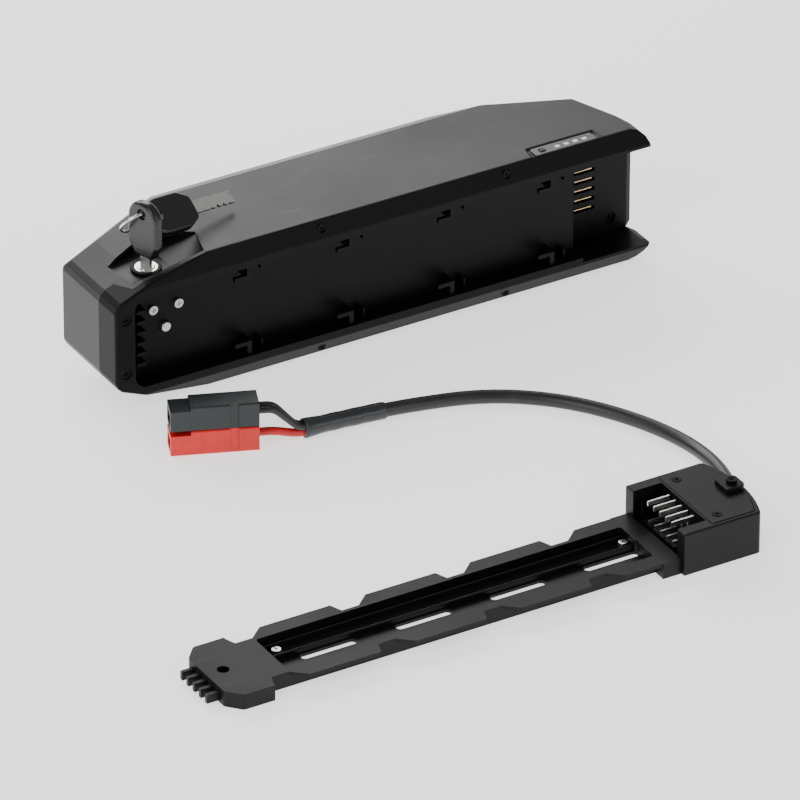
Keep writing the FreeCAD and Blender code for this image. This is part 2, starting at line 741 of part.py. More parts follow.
# ---- cells and electronics -------------------------------------------------------------------
def cell_points():
    """Plan position of every cell."""
    points = []
    for row, (count, middle) in enumerate(CELL_ROWS):
        first = middle - CELL_PITCH * (count - 1) / 2
        points += [(first + CELL_PITCH * step, CELL_FIRST_ROW + CELL_PITCH * row)
                   for step in range(count)]
    return points


def cells():
    """Cylindrical cells standing across the case."""
    return [rod(Vector(x, y, MID - CELL_LENGTH / 2), CELL_RADIUS, CELL_LENGTH)
            for x, y in cell_points()]


def cell_holder(sign):
    """Plate with a hole for the end of every cell."""
    top = MID + sign * (CELL_LENGTH / 2 - 2)
    z0, z1 = sorted((top, top - sign * HOLDER_THICK))
    half = CELL_PITCH / 2
    rows = []
    for row, (count, middle) in enumerate(CELL_ROWS):
        y = CELL_FIRST_ROW + CELL_PITCH * row
        reach = CELL_PITCH * count / 2
        rows.append(block(middle - reach, middle + reach, y - half, y + half, z0, z1))
    plate = fuse(rows)
    holes = [rod(Vector(x, y, z0 - 1), CELL_RADIUS + 0.05, HOLDER_THICK + 2) for x, y in cell_points()]
    return plate.cut(Part.makeCompound(holes))


def nickel_strips(sign):
    """Strips that join cell ends along each row."""
    face = MID + sign * CELL_LENGTH / 2
    z0, z1 = sorted((face, face + sign * STRIP_THICK))
    strips = []
    for row, (count, middle) in enumerate(CELL_ROWS):
        y = CELL_FIRST_ROW + CELL_PITCH * row
        reach = CELL_PITCH * (count - 1) / 2 + 5
        strips.append(block(middle - reach, middle + reach, y - 4, y + 4, z0, z1))
    return strips


def insulation_sheets():
    """Card sheets over the nickel strips."""
    sheets = []
    for sign in (1, -1):
        face = MID + sign * (CELL_LENGTH / 2 + STRIP_THICK + 0.1)
        z0, z1 = sorted((face, face + sign * 0.5))
        sheets.append(block(70, 300, 18, 84, z0, z1))
    return sheets


def foam_pads():
    """Foam that keeps the cell block from rattling."""
    pads = []
    for sign in (1, -1):
        near = MID + sign * (CELL_LENGTH / 2 + STRIP_THICK + 0.7)
        far = MID + sign * (MID - CASE_WALL - 0.2)
        z0, z1 = sorted((near, far))
        pads += [block(x, x + 40, 24, 60, z0, z1) for x in (90, 170, 250)]
    return pads


def bms_board():
    """Battery management board, on edge beside the cells."""
    return block(BMS_X, BMS_X + 1.6, 43, 72, 20, 70)


def bms_components():
    """Power transistors, chips and the heat spreader on the board."""
    face = BMS_X + 1.6
    switches = [block(face, face + 2.4, 46, 52, 24 + 9 * step, 31 + 9 * step) for step in range(5)]
    chips = [block(face, face + 1.4, 57, 67, 26 + 14 * step, 33 + 14 * step) for step in range(3)]
    return switches + chips


def contact_socket():
    """Moulded block behind the cavity floor that holds the pack's contacts."""
    y0 = CAVITY_DEPTH + FLOOR_THICK + 0.05
    block_body = block(322, 343, y0, y0 + 15, MID - 19, MID + 19)
    for slot in contact_slots(y0 - 1, y0 + 12, 0.8):
        block_body = block_body.cut(slot)
    return block_body


def socket_contacts():
    """Spring leaves that line one side of each slot."""
    y0 = CAVITY_DEPTH + FLOOR_THICK + 0.05
    first = MID - CONTACT_PITCH * (CONTACT_COUNT - 1) / 2
    wide = CONTACT_THICK / 2 + 0.8
    return [block(326, 338, CAVITY_DEPTH + 0.3, y0 + 11.9, first + CONTACT_PITCH * step + wide - 0.7,
                  first + CONTACT_PITCH * step + wide - 0.02) for step in range(CONTACT_COUNT)]


def bent_tube(points, radius, share=BEND_SHARE, name=None):
    """Tube along straight runs that tangent arcs join; each arc is as large as its runs allow."""
    edges, length, here = [], 0.0, points[0]
    for before, corner, after in zip(points, points[1:], points[2:]):
        back, on = (before - corner), (after - corner)
        setback = share * min(back.Length, on.Length)
        turn = math.pi - back.getAngle(on)
        bend = setback / math.tan(turn / 2)
        back.normalize()
        on.normalize()
        start, end = corner + back * setback, corner + on * setback
        inward = (back + on).normalize()
        centre = corner + inward * (bend / math.cos(turn / 2))
        edges.append(Part.LineSegment(here, start).toShape())
        edges.append(Part.Arc(start, centre - inward * bend, end).toShape())
        length += (start - here).Length + bend * turn
        here = end
        if name:
            print("%s arc radius %.1f, turn %.1f" % (name, bend, math.degrees(turn)))
    edges.append(Part.LineSegment(here, points[-1]).toShape())
    length += (points[-1] - here).Length
    ring = Part.Wire(Part.makeCircle(radius, points[0], points[1] - points[0]))
    tube = Part.Wire(edges).makePipeShell([ring], True, True)
    if name:
        print("%s length %.1f, volume over section times length %.4f" % (
            name, length, tube.Volume / (math.pi * radius ** 2 * length)))
    return tube


def inner_leads():
    """Thick leads from the management board to the contact block and the charge port."""
    to_socket = [
        bent_tube([Vector(333.5, 55, z), Vector(340, 55, z), Vector(340, 41.2, z)], 1.5)
        for z in (22.0, 68.0)]
    point, outward = charge_axis()
    rear = point - outward * PORT_DEPTH
    to_port = bent_tube([rear, rear - outward * 14, Vector(44, 50, MID + 28), Vector(50, 34, MID + 28)],
                        1.5)
    return to_socket + [to_port]


# ---- dock ------------------------------------------------------------------------------------
def slot_positions():
    """X of each slot in the row frame."""
    first = -SLOT_PITCH * (SLOT_COUNT - 1) / 2
    return [first + SLOT_PITCH * step for step in range(SLOT_COUNT)]


def notch_positions():
    """Distance of each flange notch's middle from the dock's left end."""
    return [HOOK_FIRST - DOCKED_SHIFT - HOOK_LENGTH - 6 + HOOK_PITCH * step for step in range(HOOK_COUNT)]


def flange():
    """Toothed rail that the pack's hooks grip, seen in plan."""
    half, inner = FLANGE_WIDTH / 2, WALL_OUTER / 2
    points = [(dock_x(HEAD_LENGTH - 8), half)]
    for middle in notch_positions():
        left, right = dock_x(middle - NOTCH_LENGTH / 2), dock_x(middle + NOTCH_LENGTH / 2)
        points += [(left, half), (left + 3.0, inner), (right - 9.0, inner), (right, half)]
    points += [(dock_x(BOX_START + 2), half)]
    mirror = [(x, -y) for x, y in reversed(points)]
    return plan(points + mirror, DOCK_HEIGHT - FLANGE_THICK, DOCK_HEIGHT)


def head_outline(inset):
    """Rounded left end of the dock."""
    half = DOCK_WIDTH / 2 - inset
    left, right = dock_x(inset), dock_x(HEAD_LENGTH - inset)
    return [(left, -half + 9), (left + 8, -half), (right, -half), (right, half), (left + 8, half),
            (left, half - 9)]


def dock_plate():
    """Tray with toothed flanges, cable ribs and the four fixing slots."""
    outer, half = WALL_OUTER / 2, DOCK_WIDTH / 2
    base = block(dock_x(20), dock_x(BOX_START + 4), -outer, outer, 0, DOCK_HEIGHT)
    head = plan(head_outline(0), 0, DOCK_HEIGHT)
    head = rounded(head, 4.0, lambda e: runs_along(Z_AXIS)(e) and e.BoundBox.XMax < dock_x(15))
    tail = block(dock_x(BOX_START - 8), dock_x(BOX_START + 4), -half, half, 0, DOCK_HEIGHT)
    teeth = [block(dock_x(-8), dock_x(3), -14.0 + 7 * step - 1.2, -14.0 + 7 * step + 1.2, 1.5, 7)
             for step in range(5)]
    tray = fuse([base, head, tail, flange()] + teeth)
    inner = outer - WALL_THICK
    recess = block(dock_x(RECESS_START), dock_x(BOX_START - 8), -inner, inner, DOCK_FLOOR, 20)
    tray = tray.cut(rounded(recess, 2.0, runs_along(Z_AXIS)))
    ribs = []
    for y in RIB_LINES:
        ribs.append(block(dock_x(RECESS_START - 1), dock_x(BOX_START - 7), y - 0.7, y + 0.7,
                          DOCK_FLOOR - 0.5, DOCK_FLOOR + 3))
        ribs.append(rod(Vector(dock_x(RECESS_START - 1), y, DOCK_FLOOR + 3), 0.7,
                        BOX_START - 6 - RECESS_START, X_AXIS))
    bosses = [rod(Vector(dock_x(x), SCREW_LINE, DOCK_FLOOR - 0.5), 3.4, 2.0) for x in DOCK_SCREWS]
    tray = fuse([tray] + ribs + bosses)
    for x in slot_positions():
        tray = tray.cut(fixing_slot(x))
    socket = Vector(dock_x(BOLT_X - DOCKED_SHIFT), 0, DOCK_HEIGHT - SOCKET_DEPTH)
    tray = tray.cut(rod(socket, BOLT_RADIUS + BOLT_CLEARANCE, SOCKET_DEPTH + 3))
    for x in DOCK_SCREWS:
        tray = tray.cut(rod(Vector(dock_x(x), SCREW_LINE, -1), 1.55, 20))
    return tray


def fixing_slot(x):
    """Through slot for a frame bolt."""
    half = SLOT_LENGTH / 2 - SLOT_RADIUS
    slot = block(x - half, x + half, -SLOT_RADIUS, SLOT_RADIUS, -1, 20)
    for end in (-half, half):
        slot = slot.fuse(rod(Vector(x + end, 0, -1), SLOT_RADIUS, 21))
    return slot.removeSplitter()


def dock_screws():
    """Small bright screws in the groove between the ribs."""
    return [screw(Vector(dock_x(x), SCREW_LINE, DOCK_FLOOR + 1.5), Z_AXIS, 2.7, 1.8, 1.5, DOCK_FLOOR + 1.3)
            for x in DOCK_SCREWS]


def box_prism(inset, left, z0, z1):
    """Prism over the contact box's outline, whose right end bulges."""
    half, right = BOX_WIDTH / 2 - inset, dock_x(DOCK_LENGTH) - inset
    corners = [Vector(right, -half, z0), Vector(left, -half, z0), Vector(left, half, z0),
               Vector(right, half, z0)]
    edges = [Part.LineSegment(a, b).toShape() for a, b in zip(corners, corners[1:])]
    edges.append(Part.Arc(corners[3], Vector(right + BOX_BULGE, 0, z0), corners[0]).toShape())
    return Part.Face(Part.Wire(edges)).extrude(Vector(0, 0, z1 - z0))


def dock_box():
    """Contact box with an open bay for the blades and a chamber for the wiring."""
    start = dock_x(BOX_START + 4.1)
    body = box_prism(0, start, 0, BOX_HEIGHT)
    body = rounded(body, 3.0, lambda e: runs_along(Z_AXIS)(e) and e.BoundBox.XMin > start + 5)
    body = rounded(body, 1.2, lambda e: e.BoundBox.ZMin > BOX_HEIGHT - 0.1)
    wall = dock_x(BAY_END)
    bay = block(start - 5, wall, -24, 24, 6, BOX_HEIGHT + 5)
    chamber = box_prism(BOX_WALL + 3, wall + BOX_WALL, 3, BOX_HEIGHT + 5)
    seat = box_prism(BOX_WALL, wall + 1, BOX_HEIGHT - COVER_THICK, BOX_HEIGHT + 5)
    body = body.cut(bay).cut(chamber).cut(seat)
    steps = [block(start + 4, wall + 0.5, y - 1.0, y + 1.0, 5, 20) for y in (-21.0, 21.0)]
    body = fuse([body] + steps)
    posts = [rod(Vector(dock_x(x), y, 2), 3.2, BOX_HEIGHT - COVER_THICK - 2) for x, y in COVER_SCREWS]
    body = fuse([body] + posts)
    for x, y in COVER_SCREWS:
        body = body.cut(rod(Vector(dock_x(x), y, 8), 1.3, 30))
    axis = cable_exit()
    hole = rod(CABLE_ROUTE[0] - axis * (GLAND_LENGTH + 0.1), GLAND_RADIUS + 0.1, GLAND_LENGTH + 5, axis)
    return body.cut(hole)


def cable_exit():
    """Direction in which the lead leaves the box."""
    return (CABLE_ROUTE[1] - CABLE_ROUTE[0]).normalize()


def box_cover():
    """Lid over the wiring chamber."""
    left = dock_x(BAY_END) + 1.2
    lid = box_prism(BOX_WALL + 0.2, left, BOX_HEIGHT - COVER_THICK, BOX_HEIGHT + 0.4)
    lid = rounded(lid, 0.5, lambda e: e.BoundBox.ZMin > BOX_HEIGHT)
    for x, y in COVER_SCREWS:
        lid = lid.cut(rod(Vector(dock_x(x), y, BOX_HEIGHT - 0.8), 3.0, 5))
        lid = lid.cut(rod(Vector(dock_x(x), y, 0), 1.6, 50))
    return lid


def cover_screws():
    """Screws that hold the lid."""
    return [screw(Vector(dock_x(x), y, BOX_HEIGHT - 0.8), Z_AXIS, 2.6, 1.5, 1.25, 8)
            for x, y in COVER_SCREWS]


def blade_positions():
    """Y of each dock blade."""
    first = -CONTACT_PITCH * (CONTACT_COUNT - 1) / 2
    return [first + CONTACT_PITCH * step for step in range(CONTACT_COUNT)]


def contact_block():
    """Moulded comb that holds the blades upright."""
    start, wall = dock_x(BOX_START + 6), dock_x(BAY_END) - 0.1
    foot = block(start, wall, -18, 18, 6.02, 11)
    back = block(wall - 5, wall, -18, 18, 6.02, 20)
    comb_block = fuse([foot, back])
    for y in blade_positions():
        comb_block = comb_block.cut(block(start - 1, wall - 1.2, y - CONTACT_THICK / 2,
                                          y + CONTACT_THICK / 2, 8, 30))
    return comb_block


def contact_blades():
    """Bent blades: an upright and an arm that reaches over the bay."""
    start, wall = dock_x(BOX_START + 6), dock_x(BAY_END) - 1.3
    blades = []
    for y in blade_positions():
        profile = [(start + 2, 8), (wall, 8), (wall, BOX_HEIGHT - 2), (start + 1, BOX_HEIGHT - 2),
                   (start + 1, BOX_HEIGHT - 5), (wall - 4, BOX_HEIGHT - 5), (wall - 4, 12),
                   (start + 2, 12)]
        blades.append(side(profile, y - CONTACT_THICK / 2, y + CONTACT_THICK / 2))
    return blades


def cable_clamp():
    """Tab on the box's end that presses the lead's gland."""
    top = BOX_HEIGHT + 0.45
    tab = block(dock_x(338), dock_x(351), -6.5, 6.5, top, top + 3)
    tab = rounded(tab, 3.0, lambda e: runs_along(Z_AXIS)(e) and e.BoundBox.XMin > dock_x(350))
    tab = rounded(tab, 0.6, lambda e: e.BoundBox.ZMin > top + 2.9)
    return tab.cut(rod(Vector(dock_x(345), 0, top - 1), 1.6, 9))


def clamp_screw():
    """Screw through the clamp tab."""
    top = BOX_HEIGHT + 3.45
    return screw(Vector(dock_x(345), 0, top), Z_AXIS, 3.2, 2.0, 1.5, 3.0)


# ---- lead ------------------------------------------------------------------------------------
def gland():
    """Tapered rubber sleeve where the lead leaves the box."""
    axis = cable_exit()
    start = CABLE_ROUTE[0] - axis * GLAND_LENGTH
    plain = GLAND_LENGTH - GLAND_TAPER
    nose = Part.makeCone(GLAND_RADIUS, CABLE_RADIUS + 0.5, GLAND_TAPER, start + axis * plain, axis)
    return fuse([rod(start, GLAND_RADIUS, plain, axis), nose])


def lead_cable():
    """Round two-core cable from the box to the heat-shrink."""
    return bent_tube(list(CABLE_ROUTE), CABLE_RADIUS, name="lead_cable")


def last_run():
    """Unit direction of the cable's last run."""
    return (CABLE_ROUTE[-1] - CABLE_ROUTE[-2]).normalize()


def heat_shrink():
    """Shrunk sleeve over the cable's end, wider where the wires leave it."""
    bend, end = CABLE_ROUTE[-2], CABLE_ROUTE[-1]
    back = (CABLE_ROUTE[-3] - bend).normalize()
    entry = bend + back * SLEEVE_LEAD
    mouth = end + last_run() * SLEEVE_OVERRUN
    tangent = BEND_SHARE * (end - bend).Length
    share = tangent / SLEEVE_LEAD
    skin = bent_tube([entry, bend, mouth], SLEEVE_RADIUS, share)
    flare = Part.makeCone(SLEEVE_RADIUS, SLEEVE_RADIUS + 1.1, 12, mouth - last_run() * 12, last_run())
    core = bent_tube([entry, bend, mouth], CABLE_RADIUS, share)
    bore = Part.makeCone(SLEEVE_RADIUS, SLEEVE_RADIUS + 0.3, SLEEVE_OVERRUN, end, last_run())
    return skin.fuse(flare).removeSplitter().cut(core).cut(bore)


def plug_axis():
    """Direction in which the plugs point, away from their wires."""
    angle = math.radians(PLUG_ANGLE)
    return Vector(math.cos(angle), math.sin(angle), 0)


def wire_ends():
    """Each wire's offset in the sleeve, and where it enters its plug."""
    low, high = PLUG_SIDE / 2, PLUG_SIDE * 1.5 + PLUG_GAP
    return {
        "wire_red": (Vector(0, 0, -2.3), Vector(0, 0, low), RED_RADIUS),
        "wire_black_a": (Vector(0, 2.2, 2.2), Vector(0, -3.0, high), BLACK_RADIUS),
        "wire_black_b": (Vector(0, -2.2, 2.2), Vector(0, 3.0, high), BLACK_RADIUS),
    }


def wire(name):
    """One insulated wire from the cable's end to its plug."""
    offset, arrival, radius = wire_ends()[name]
    start = CABLE_ROUTE[-1] + offset
    ahead = last_run()
    finish = PLUG_REAR + Rotation(Z_AXIS, PLUG_ANGLE).multVec(arrival)
    first = start + ahead * 10
    last = finish - plug_axis() * 9
    if (last - first).Length < 8:
        return bent_tube([start, (first + last) * 0.5, finish], radius)
    return bent_tube([start, first, last, finish], radius)


def plug(level):
    """Connector housing with an open mouth and a grip rib."""
    z0 = level * (PLUG_SIDE + PLUG_GAP)
    half = PLUG_SIDE / 2
    body = block(0, PLUG_LENGTH, -half, half, z0, z0 + PLUG_SIDE)
    body = rounded(body, 1.2, runs_along(X_AXIS))
    mouth = block(PLUG_LENGTH - 14, PLUG_LENGTH + 1, -half + 2.2, half - 2.2, z0 + 2.2, z0 + PLUG_SIDE - 5.5)
    hood = block(PLUG_LENGTH - 12, PLUG_LENGTH + 1, -half - 1, half + 1, z0 + PLUG_SIDE - 2.6, z0 + 40)
    waist = [block(12, 17, y - 0.8, y + 0.8, z0 - 1, z0 + PLUG_SIDE + 1) for y in (-half, half)]
    body = body.cut(mouth).cut(hood)
    for cut in waist:
        body = body.cut(cut)
    return at_plug(body)


def at_plug(shape):
    """Plug coordinates, X from the wires' side to the mouth, to the shared frame."""
    shape.rotate(Vector(0, 0, 0), Z_AXIS, PLUG_ANGLE)
    shape.translate(PLUG_REAR)
    return shape


def plug_contacts():
    """Flat spring contacts in the two mouths."""
    contacts = []
    for level in (0, 1):
        z = level * (PLUG_SIDE + PLUG_GAP) + 4.4
        tongue = block(PLUG_LENGTH - 14, PLUG_LENGTH - 3, -3.5, 3.5, z, z + 1.2)
        contacts.append(at_plug(rounded(tongue, 0.4, runs_along(Y_AXIS))))
    return contacts


# ---- export ----------------------------------------------------------------------------------
def pack_parts():
    """Every sub-part of the pack, in pack coordinates."""
    blade, bow = key_pieces()
    spare_blade, spare_bow = spare_key()
    return {
        "case_shell": [case_shell()],
        "case_channel_cover": [channel_cover()],
        "case_gasket": case_gasket().Solids,
        "case_screws": case_screws(),
        "channel_screws": channel_screws(),
        "lock_bezel": [lock_bezel()],
        "lock_body": [lock_body()],
        "lock_core": [lock_core()],
        "lock_cam": [lock_cam()],
        "lock_bolt": [lock_bolt()],
        "key_blade": [turned(blade)],
        "key_bow": [turned(bow)],
        "key_ring": [key_ring()],
        "spare_key_blade": [spare_blade],
        "spare_key_bow": [spare_bow],
        "level_window": [level_window()],
        "level_leds": level_leds(),
        "level_board": [level_board()],
        "level_button": [level_button()],
        "charge_port": [charge_port()],
        "charge_cap": [charge_cap()],
        "cells": cells(),
        "cell_holder_upper": [cell_holder(1)],
        "cell_holder_lower": [cell_holder(-1)],
        "nickel_strips_upper": nickel_strips(1),
        "nickel_strips_lower": nickel_strips(-1),
        "insulation_sheets": insulation_sheets(),
        "foam_pads": foam_pads(),
        "bms_board": [bms_board()],
        "bms_components": bms_components(),
        "contact_socket": [contact_socket()],
        "socket_contacts": socket_contacts(),
        "inner_leads": inner_leads(),
    }


def dock_parts():
    """Every sub-part of the dock and its lead, in the shared frame."""
    return {
        "dock_plate": [dock_plate()],
        "dock_screws": dock_screws(),
        "dock_box": [dock_box()],
        "box_cover": [box_cover()],
        "cover_screws": cover_screws(),
        "contact_block": [contact_block()],
        "contact_blades": contact_blades(),
        "cable_clamp": [cable_clamp()],
        "clamp_screw": [clamp_screw()],
        "gland": [gland()],
        "lead_cable": [lead_cable()],
        "heat_shrink": [heat_shrink()],
        "wire_red": [wire("wire_red")],
        "wire_black_a": [wire("wire_black_a")],
        "wire_black_b": [wire("wire_black_b")],
        "plug_red": [plug(0)],
        "plug_black": [plug(1)],
        "plug_contacts": plug_contacts(),
    }


os.makedirs("parts", exist_ok=True)
for name, shapes in pack_parts().items():
    export(name, [placed(shape) for shape in shapes])
for name, shapes in dock_parts().items():
    export(name, shapes)
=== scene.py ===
"""Looks of a slide-on bicycle battery pack that lies beside its frame dock and the dock's lead.

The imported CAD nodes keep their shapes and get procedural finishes. The cable, its heat-shrink
sleeve and the split key ring are surfaces made here.
"""

from __future__ import annotations

import logging
import math
from dataclasses import dataclass, field
from enum import Enum

import bpy
import numpy as np
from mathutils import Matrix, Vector

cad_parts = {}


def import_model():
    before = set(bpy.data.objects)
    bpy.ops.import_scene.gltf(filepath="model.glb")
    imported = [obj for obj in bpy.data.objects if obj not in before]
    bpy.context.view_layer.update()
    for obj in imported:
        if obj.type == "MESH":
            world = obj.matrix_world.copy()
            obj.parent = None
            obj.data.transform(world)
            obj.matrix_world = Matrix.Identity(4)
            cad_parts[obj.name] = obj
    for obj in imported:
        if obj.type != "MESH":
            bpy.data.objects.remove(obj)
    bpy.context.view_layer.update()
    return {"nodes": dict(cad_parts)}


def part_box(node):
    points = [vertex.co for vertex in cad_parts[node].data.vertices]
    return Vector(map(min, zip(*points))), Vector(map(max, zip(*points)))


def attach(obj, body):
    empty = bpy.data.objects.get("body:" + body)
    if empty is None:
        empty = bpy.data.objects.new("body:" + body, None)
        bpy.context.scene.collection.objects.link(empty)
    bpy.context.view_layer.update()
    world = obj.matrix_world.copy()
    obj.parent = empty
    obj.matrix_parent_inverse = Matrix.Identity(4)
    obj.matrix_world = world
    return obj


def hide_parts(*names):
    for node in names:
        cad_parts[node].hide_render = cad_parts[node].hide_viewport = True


LOG = logging.getLogger("battery_pack")
TUBE_SIDES = 32
WIRE_SIDES = 12
SLEEVE_ROWS = 90
COIL_ROWS = 150
CURVE_STEPS = 24
BEVEL_STEPS = 8


# ---- shader maths ----------------------------------------------------------------------------
class Signal:
    """A shader socket that can be used in Python expressions."""

    def __init__(self, graph: "Graph", socket: bpy.types.NodeSocket) -> None:
        """Keep the graph and the socket."""
        self.graph = graph
        self.socket = socket

    def _math(self, operation: str, *values: "Signal | float") -> "Signal":
        """One Math node on these values."""
        return self.graph.node("ShaderNodeMath", {"operation": operation}, dict(enumerate(values)))

    def __add__(self, other: "Signal | float") -> "Signal":
        """Sum."""
        return self._math("ADD", self, other)

    def __radd__(self, other: float) -> "Signal":
        """Sum with a number on the left."""
        return self._math("ADD", other, self)

    def __sub__(self, other: "Signal | float") -> "Signal":
        """Difference."""
        return self._math("SUBTRACT", self, other)

    def __mul__(self, other: "Signal | float") -> "Signal":
        """Product."""
        return self._math("MULTIPLY", self, other)

    def ramp(self, low: float, high: float) -> "Signal":
        """Smooth step from 0 at low to 1 at high."""
        settings = {"interpolation_type": "SMOOTHSTEP"}
        return self.graph.node("ShaderNodeMapRange", settings,
                               {"Value": self, "From Min": low, "From Max": high})


class Graph:
    """The node tree of one material, with its Principled shader."""

    def __init__(self, name: str) -> None:
        """Start a material with only an output and a Principled shader.

        Args:
            name: The material's name.
        """
        self.material = bpy.data.materials.new(name)
        self.material.use_nodes = True
        self.tree = self.material.node_tree
        self.shader = self.tree.nodes["Principled BSDF"]

    def node(self, kind: str, settings: dict | None = None, values: dict | None = None,
             output: int | str = 0) -> Signal:
        """Add any node.

        Args:
            kind: The node's type name.
            settings: Attributes, set before the sockets are filled.
            values: Socket name or index to a number, tuple or Signal.
            output: Which output the result stands for.

        Returns:
            The chosen output as a Signal.
        """
        made = self.tree.nodes.new(kind)
        for key, value in (settings or {}).items():
            setattr(made, key, value)
        for key, value in (values or {}).items():
            self._fill(made.inputs[key], value)
        return Signal(self, made.outputs[output])

    def _fill(self, socket: bpy.types.NodeSocket, value: "Signal | float | tuple") -> None:
        """Link a Signal or set a plain value."""
        if isinstance(value, Signal):
            self.tree.links.new(value.socket, socket)
        else:
            socket.default_value = value

    def set(self, **sockets: "Signal | float | tuple") -> None:
        """Fill sockets of the Principled shader, with spaces written as underscores."""
        for key, value in sockets.items():
            self._fill(self.shader.inputs[key.replace("_", " ")], value)

    def place(self) -> Signal:
        """Object coordinates, in metres."""
        return self.node("ShaderNodeTexCoord", output="Object")

    def stretched(self, factors: tuple[float, float, float]) -> Signal:
        """Object coordinates multiplied axis by axis."""
        return self.node("ShaderNodeVectorMath", {"operation": "MULTIPLY"},
                         {0: self.place(), 1: factors})

    def noise(self, scale: float, detail: float = 3.0, where: Signal | None = None) -> Signal:
        """Fractal noise from 0 to 1."""
        return self.node("ShaderNodeTexNoise", None,
                         {"Vector": where or self.place(), "Scale": scale, "Detail": detail})

    def cells(self, scale: float) -> Signal:
        """Distance to the nearest random point."""
        return self.node("ShaderNodeTexVoronoi", None, {"Vector": self.place(), "Scale": scale})

    def blend(self, mask: Signal, first: tuple, second: tuple) -> Signal:
        """Colour that goes from first to second as the mask goes from 0 to 1."""
        mixed = self.tree.nodes.new("ShaderNodeMix")
        mixed.data_type = "RGBA"
        self._fill(mixed.inputs["Factor"], mask)
        colours = [socket for socket in mixed.inputs if socket.type == "RGBA"]
        colours[0].default_value = (*first, 1.0)
        colours[1].default_value = (*second, 1.0)
        result = [socket for socket in mixed.outputs if socket.type == "RGBA"]
        return Signal(self, result[0])

    def bump(self, height: Signal, depth: float, strength: float = 1.0) -> None:
        """Feed a height into the shader's normal.

        Args:
            height: Height from 0 to 1.
            depth: Real depth in metres of a height of 1.
            strength: Share of the effect.
        """
        normal = self.node("ShaderNodeBump", None,
                           {"Height": height, "Distance": depth, "Strength": strength})
        self.set(Normal=normal)


def lighter(colour: tuple, factor: float) -> tuple:
    """The colour with each channel multiplied, at most 1."""
    return tuple(min(1.0, channel * factor) for channel in colour)


# ---- finishes --------------------------------------------------------------------------------
@dataclass(frozen=True)
class MouldedPlastic:
    """Satin moulded plastic with spark-eroded grain, handling marks and faint dust.

    Height is fine cell grain plus a slow sink-mark wave. Roughness is a base value, raised by
    broad smudges and lowered in hairline rubs.
    """

    name: str
    colour: tuple[float, float, float]
    roughness: float = 0.42
    grain_scale: float = 2600.0
    grain_depth: float = 0.00004
    smudge: float = 0.08
    coat: float = 0.0
    specular: float = 0.4

    def make(self) -> bpy.types.Material:
        """Build the material."""
        graph = Graph(self.name)
        broad = graph.noise(14.0, 4.0)
        fine = graph.noise(140.0, 2.0)
        rub = graph.noise(60.0, 3.0, graph.stretched((1.0, 9.0, 9.0))).ramp(0.62, 0.72)
        grain = graph.cells(self.grain_scale)
        tone = broad * 0.6 + fine * 0.4
        graph.set(
            Base_Color=graph.blend(tone.ramp(0.3, 0.75), lighter(self.colour, 0.85),
                                   lighter(self.colour, 1.2)),
            Roughness=self.roughness + (broad - 0.5) * self.smudge * 2.0 - rub * 0.05,
            Metallic=0.0,
            Coat_Weight=self.coat,
        )
        graph.shader.inputs["Specular IOR Level"].default_value = self.specular
        graph.bump(grain * 0.8 + broad * 0.4, self.grain_depth, 0.6)
        return graph.material


@dataclass(frozen=True)
class PlatedMetal:
    """Plated or bare metal with turning lines or brushing and dull spots.

    Height is noise stretched along one axis. Roughness rises where slow noise is high.
    """

    name: str
    colour: tuple[float, float, float]
    roughness: float = 0.22
    stretch: tuple[float, float, float] = (1.0, 1.0, 12.0)
    scratch_scale: float = 700.0
    tarnish: float = 0.15

    def make(self) -> bpy.types.Material:
        """Build the material."""
        graph = Graph(self.name)
        lines = graph.noise(self.scratch_scale, 3.0, graph.stretched(self.stretch))
        spots = graph.noise(220.0, 4.0)
        graph.set(
            Base_Color=graph.blend(spots.ramp(0.5, 0.8), self.colour, lighter(self.colour, 0.72)),
            Roughness=self.roughness + lines * 0.12 + spots.ramp(0.5, 0.8) * self.tarnish,
            Metallic=1.0,
        )
        graph.bump(lines, 0.00002, 0.5)
        return graph.material


@dataclass(frozen=True)
class SoftRubber:
    """Extruded rubber or PVC skin with fine die lines and a dusty bloom.

    Height is noise drawn out along the run, and the colour lifts where bloom gathers.
    """

    name: str
    colour: tuple[float, float, float]
    roughness: float = 0.5
    line_scale: float = 900.0
    depth: float = 0.00005
    bloom: float = 1.5

    def make(self) -> bpy.types.Material:
        """Build the material."""
        graph = Graph(self.name)
        lines = graph.noise(self.line_scale, 2.0, graph.stretched((0.25, 1.0, 1.0)))
        dust = graph.noise(55.0, 5.0)
        graph.set(
            Base_Color=graph.blend(dust.ramp(0.45, 0.8), self.colour,
                                   lighter(self.colour, self.bloom)),
            Roughness=self.roughness + (dust - 0.5) * 0.2,
            Metallic=0.0,
        )
        graph.bump(lines * 0.6 + dust * 0.4, self.depth, 0.6)
        return graph.material


@dataclass(frozen=True)
class CircuitBoard:
    """Green lacquered board with copper tracks under the lacquer.

    Tracks are bands of a wave; their edge height feeds the bump.
    """

    name: str = "circuit_board"
    colour: tuple[float, float, float] = (0.01, 0.09, 0.03)

    def make(self) -> bpy.types.Material:
        """Build the material."""
        graph = Graph(self.name)
        wave = graph.node("ShaderNodeTexWave", {"bands_direction": "Z"},
                          {"Vector": graph.place(), "Scale": 180.0, "Distortion": 3.0}, "Fac")
        tracks = wave.ramp(0.55, 0.65)
        graph.set(Base_Color=graph.blend(tracks, self.colour, lighter(self.colour, 2.2)),
                  Roughness=0.3, Metallic=0.0)
        graph.bump(tracks, 0.00004, 0.5)
        return graph.material


